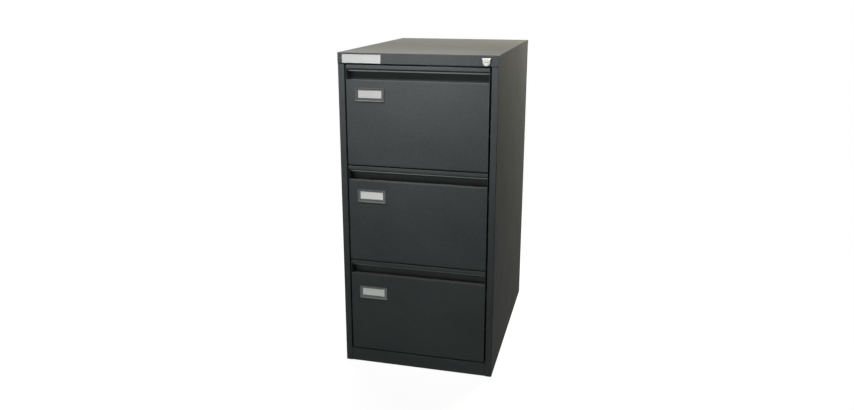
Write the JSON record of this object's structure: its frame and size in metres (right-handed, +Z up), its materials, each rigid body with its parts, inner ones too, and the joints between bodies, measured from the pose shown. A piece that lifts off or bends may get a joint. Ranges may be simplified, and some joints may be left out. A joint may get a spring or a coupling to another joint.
{
  "type": "vertical filing cabinet",
  "caption": "Upright charcoal steel filing cabinet: deep drawers with full-width recessed grips on telescopic runners, label holders, and a corner lock that bars them all.",
  "frame": {"origin": "on the floor, at the middle of the footprint's box", "axes": "+Z up, +Y from the drawer fronts to the back, +X to the right seen from the front"},
  "size_m": [0.48, 0.7066, 1],
  "materials": {
    "charcoal_powder_coat": "satin charcoal grey powder coat with a fine orange-peel texture",
    "zinc_plate": "bright zinc plate",
    "chrome": "polished chrome plate",
    "label_plastic": "moulded dark grey plastic",
    "label_paper": "blank white card",
    "badge_silver": "blank satin silver-white plate",
    "black_plastic": "black moulded plastic"
  },
  "bodies": {
    "carcass": {"left_side_panel": "charcoal_powder_coat", "right_side_panel": "charcoal_powder_coat", "top_cover": "charcoal_powder_coat", "back_panel": "charcoal_powder_coat", "front_plinth": "charcoal_powder_coat", "base_pan": "charcoal_powder_coat", "badge_plate": "badge_silver", "glide_front_left": "black_plastic", "glide_front_right": "black_plastic", "glide_rear_left": "black_plastic", "glide_rear_right": "black_plastic", "front_left_upright": "charcoal_powder_coat", "front_right_upright": "charcoal_powder_coat", "rear_left_upright": "charcoal_powder_coat", "rear_right_upright": "charcoal_powder_coat", "lock_housing": "chrome", "lock_nut": "zinc_plate", "drawer_1_left_cabinet_runner": "zinc_plate", "drawer_1_right_cabinet_runner": "zinc_plate", "drawer_2_left_cabinet_runner": "zinc_plate", "drawer_2_right_cabinet_runner": "zinc_plate", "drawer_3_left_cabinet_runner": "zinc_plate", "drawer_3_right_cabinet_runner": "zinc_plate"},
    "lock_cylinder": {"lock_plug": "chrome", "lock_cam": "zinc_plate"},
    "lock_bar": {"lock_bar": "zinc_plate", "lock_bar_head": "zinc_plate"},
    "drawer_1": {"drawer_1_front": "charcoal_powder_coat", "drawer_1_inner_front": "charcoal_powder_coat", "drawer_1_tray": "charcoal_powder_coat", "drawer_1_back": "charcoal_powder_coat", "drawer_1_label_holder": "label_plastic", "drawer_1_label_card": "label_paper", "drawer_1_lock_catch": "zinc_plate", "drawer_1_left_drawer_runner": "zinc_plate", "drawer_1_right_drawer_runner": "zinc_plate"},
    "drawer_1_middle": {"drawer_1_left_middle_runner": "zinc_plate", "drawer_1_right_middle_runner": "zinc_plate"},
    "drawer_2": {"drawer_2_front": "charcoal_powder_coat", "drawer_2_inner_front": "charcoal_powder_coat", "drawer_2_tray": "charcoal_powder_coat", "drawer_2_back": "charcoal_powder_coat", "drawer_2_label_holder": "label_plastic", "drawer_2_label_card": "label_paper", "drawer_2_lock_catch": "zinc_plate", "drawer_2_left_drawer_runner": "zinc_plate", "drawer_2_right_drawer_runner": "zinc_plate"},
    "drawer_2_middle": {"drawer_2_left_middle_runner": "zinc_plate", "drawer_2_right_middle_runner": "zinc_plate"},
    "drawer_3": {"drawer_3_front": "charcoal_powder_coat", "drawer_3_inner_front": "charcoal_powder_coat", "drawer_3_tray": "charcoal_powder_coat", "drawer_3_back": "charcoal_powder_coat", "drawer_3_label_holder": "label_plastic", "drawer_3_label_card": "label_paper", "drawer_3_lock_catch": "zinc_plate", "drawer_3_left_drawer_runner": "zinc_plate", "drawer_3_right_drawer_runner": "zinc_plate"},
    "drawer_3_middle": {"drawer_3_left_middle_runner": "zinc_plate", "drawer_3_right_middle_runner": "zinc_plate"}
  },
  "joints": [
    {"name": "lock_turn", "type": "hinge", "parent": "carcass", "child": "lock_cylinder", "pos_m": [0.205, -0.3467, 0.9804], "axis": [0, 1, 0], "range_deg": [0, 90]},
    {"name": "lock_bar_slide", "type": "slide", "parent": "carcass", "child": "lock_bar", "axis": [0, 0, -1], "range_m": [0, 0.01131]},
    {"name": "drawer_1_slide", "type": "slide", "parent": "carcass", "child": "drawer_1", "axis": [0, -1, 0], "range_m": [0, 0.6]},
    {"name": "drawer_1_middle_slide", "type": "slide", "parent": "carcass", "child": "drawer_1_middle", "axis": [0, -1, 0], "range_m": [0, 0.3]},
    {"name": "drawer_2_slide", "type": "slide", "parent": "carcass", "child": "drawer_2", "axis": [0, -1, 0], "range_m": [0, 0.6]},
    {"name": "drawer_2_middle_slide", "type": "slide", "parent": "carcass", "child": "drawer_2_middle", "axis": [0, -1, 0], "range_m": [0, 0.3]},
    {"name": "drawer_3_slide", "type": "slide", "parent": "carcass", "child": "drawer_3", "axis": [0, -1, 0], "range_m": [0, 0.6]},
    {"name": "drawer_3_middle_slide", "type": "slide", "parent": "carcass", "child": "drawer_3_middle", "axis": [0, -1, 0], "range_m": [0, 0.3]}
  ],
  "couplings": [
    {"joint": "lock_turn", "follows": "lock_bar_slide", "rad_per_m": 138.84},
    {"joint": "drawer_1_middle_slide", "follows": "drawer_1_slide", "ratio": 0.5},
    {"joint": "drawer_2_middle_slide", "follows": "drawer_2_slide", "ratio": 0.5},
    {"joint": "drawer_3_middle_slide", "follows": "drawer_3_slide", "ratio": 0.5}
  ]
}
